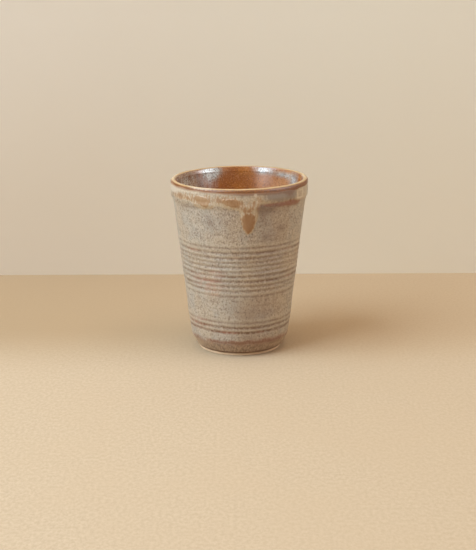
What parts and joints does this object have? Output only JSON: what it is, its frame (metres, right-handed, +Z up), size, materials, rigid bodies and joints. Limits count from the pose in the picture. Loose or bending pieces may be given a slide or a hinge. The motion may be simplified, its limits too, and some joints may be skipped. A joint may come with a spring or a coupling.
{
  "type": "stoneware beaker",
  "caption": "Handleless stoneware beaker, flaring from a bevelled bare foot to a rounded lip, with turned grooves, a brown glazed inside and a second coat that has run at the rim.",
  "frame": {"origin": "centre of the circle that the foot ring stands on", "axes": "+Z up along the beaker's axis of turning, -Y towards the side with the long amber run, +X to the right as that side is seen"},
  "size_m": [0.0786, 0.0788, 0.1],
  "materials": {
    "bare_clay": "matte",
    "liner_glaze": "gloss",
    "body_glaze": "satin",
    "rim_glaze": "satin",
    "amber_glaze": "gloss"
  },
  "bodies": {
    "root": {"clay_body": "bare_clay", "liner_glaze": "liner_glaze", "body_glaze": "body_glaze", "rim_glaze": "rim_glaze", "lip_glaze": "amber_glaze", "amber_run_front": "amber_glaze", "amber_pool_left": "amber_glaze", "amber_pool_centre": "amber_glaze"}
  },
  "joints": []
}
